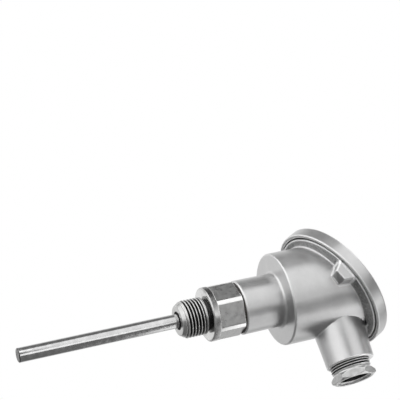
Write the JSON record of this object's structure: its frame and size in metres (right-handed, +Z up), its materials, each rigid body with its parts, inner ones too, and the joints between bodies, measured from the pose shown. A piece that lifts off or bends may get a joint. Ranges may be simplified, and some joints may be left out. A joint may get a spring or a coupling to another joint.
{
  "type": "resistance temperature probe with connection head",
  "caption": "Resistance temperature probe: slim steel tube, threaded hexagon fitting and a cast connection head with tilted round cover and side cable gland.",
  "frame": {"origin": "centre of the process thread's sealing face, on the probe's axis", "axes": "+Z up the probe's axis from the tip to the head, +X the way the cable leaves the head, XZ the head's plane of symmetry"},
  "size_m": [0.0895, 0.0744, 0.204],
  "materials": {
    "stainless_steel": "turned and polished stainless steel",
    "cast_aluminium": "fine blasted die-cast aluminium",
    "nickel_brass": "nickel-plated brass",
    "black_rubber": "matt",
    "dark_fibre": "pressed fibre with rubber binder",
    "zinc_steel": "bright zinc-plated",
    "brass": "turned brass",
    "white_ceramic": "unglazed steatite",
    "mineral_oxide": "packed powder",
    "spring_steel": "drawn wire",
    "white_insulation": "fluoropolymer sleeve on copper",
    "red_insulation": "fluoropolymer sleeve on copper"
  },
  "bodies": {
    "head": {"protection_tube": "stainless_steel", "tube_end_plug": "stainless_steel", "process_fitting": "stainless_steel", "neck_gasket": "dark_fibre", "head_body": "cast_aluminium", "cover_gasket": "black_rubber", "gland_seal": "black_rubber", "insert_spring_left": "spring_steel", "insert_spring_right": "spring_steel"},
    "cover": {"head_cover": "cast_aluminium"},
    "cover_screw_left": {"cover_screw_left": "zinc_steel"},
    "cover_screw_right": {"cover_screw_right": "zinc_steel"},
    "gland_washer": {"gland_slip_washer": "nickel_brass"},
    "gland_screw": {"gland_screw": "nickel_brass"},
    "insert": {"insert_plate": "zinc_steel", "insert_sheath": "stainless_steel", "sensing_element": "white_ceramic", "mineral_filling": "mineral_oxide", "terminal_base": "white_ceramic", "base_rivets": "zinc_steel", "terminal_1": "brass", "terminal_2": "brass", "terminal_3": "brass", "terminal_4": "brass", "lead_wire_1": "red_insulation", "lead_wire_2": "red_insulation", "lead_wire_3": "white_insulation", "lead_wire_4": "white_insulation"},
    "insert_screw_left": {"insert_screw_left": "zinc_steel"},
    "insert_screw_right": {"insert_screw_right": "zinc_steel"},
    "clamp_screw_1": {"clamp_screw_1": "brass"},
    "clamp_screw_2": {"clamp_screw_2": "brass"},
    "clamp_screw_3": {"clamp_screw_3": "brass"},
    "clamp_screw_4": {"clamp_screw_4": "brass"}
  },
  "joints": [
    {"name": "cover_lift", "type": "slide", "parent": "head", "child": "cover", "axis": [-0.434, 0, 0.9009], "range_m": [0, 0.045]},
    {"name": "cover_screw_left_turn", "type": "hinge", "parent": "cover", "child": "cover_screw_left", "pos_m": [-0.00149, 0.03, 0.0805], "axis": [-0.434, 0, 0.9009], "range_deg": [0, 3600]},
    {"name": "cover_screw_right_turn", "type": "hinge", "parent": "cover", "child": "cover_screw_right", "pos_m": [-0.00149, -0.03, 0.0805], "axis": [-0.434, 0, 0.9009], "range_deg": [0, 3600]},
    {"name": "gland_feed", "type": "slide", "parent": "head", "child": "gland_washer", "axis": [1, 0, 0], "range_m": [0, 0.00706]},
    {"name": "gland_turn", "type": "hinge", "parent": "gland_washer", "child": "gland_screw", "pos_m": [0.045, 0, 0.07266], "axis": [1, 0, 0], "range_deg": [0, 1800]},
    {"name": "insert_travel", "type": "slide", "parent": "head", "child": "insert", "axis": [0, 0, 1], "range_m": [0, 0.004], "stiffness_N_per_m": 4000, "springref_m": -0.005, "deforming": ["insert_spring_left", "insert_spring_right"]},
    {"name": "insert_screw_left_turn", "type": "hinge", "parent": "head", "child": "insert_screw_left", "pos_m": [0, 0.0165, 0.0611], "axis": [0, 0, 1], "range_deg": [0, 2160]},
    {"name": "insert_screw_right_turn", "type": "hinge", "parent": "head", "child": "insert_screw_right", "pos_m": [0, -0.0165, 0.0611], "axis": [0, 0, 1], "range_deg": [0, 2160]},
    {"name": "clamp_screw_1_turn", "type": "hinge", "parent": "insert", "child": "clamp_screw_1", "pos_m": [0.0105, 0.0056, 0.065], "axis": [0, 0, 1], "range_deg": [0, 1440]},
    {"name": "clamp_screw_2_turn", "type": "hinge", "parent": "insert", "child": "clamp_screw_2", "pos_m": [0.0105, -0.0056, 0.065], "axis": [0, 0, 1], "range_deg": [0, 1440]},
    {"name": "clamp_screw_3_turn", "type": "hinge", "parent": "insert", "child": "clamp_screw_3", "pos_m": [-0.0105, -0.0056, 0.065], "axis": [0, 0, 1], "range_deg": [0, 1440]},
    {"name": "clamp_screw_4_turn", "type": "hinge", "parent": "insert", "child": "clamp_screw_4", "pos_m": [-0.0105, 0.0056, 0.065], "axis": [0, 0, 1], "range_deg": [0, 1440]}
  ],
  "couplings": [
    {"joint": "gland_feed", "follows": "gland_turn", "m_per_rad": 0.00022441}
  ]
}
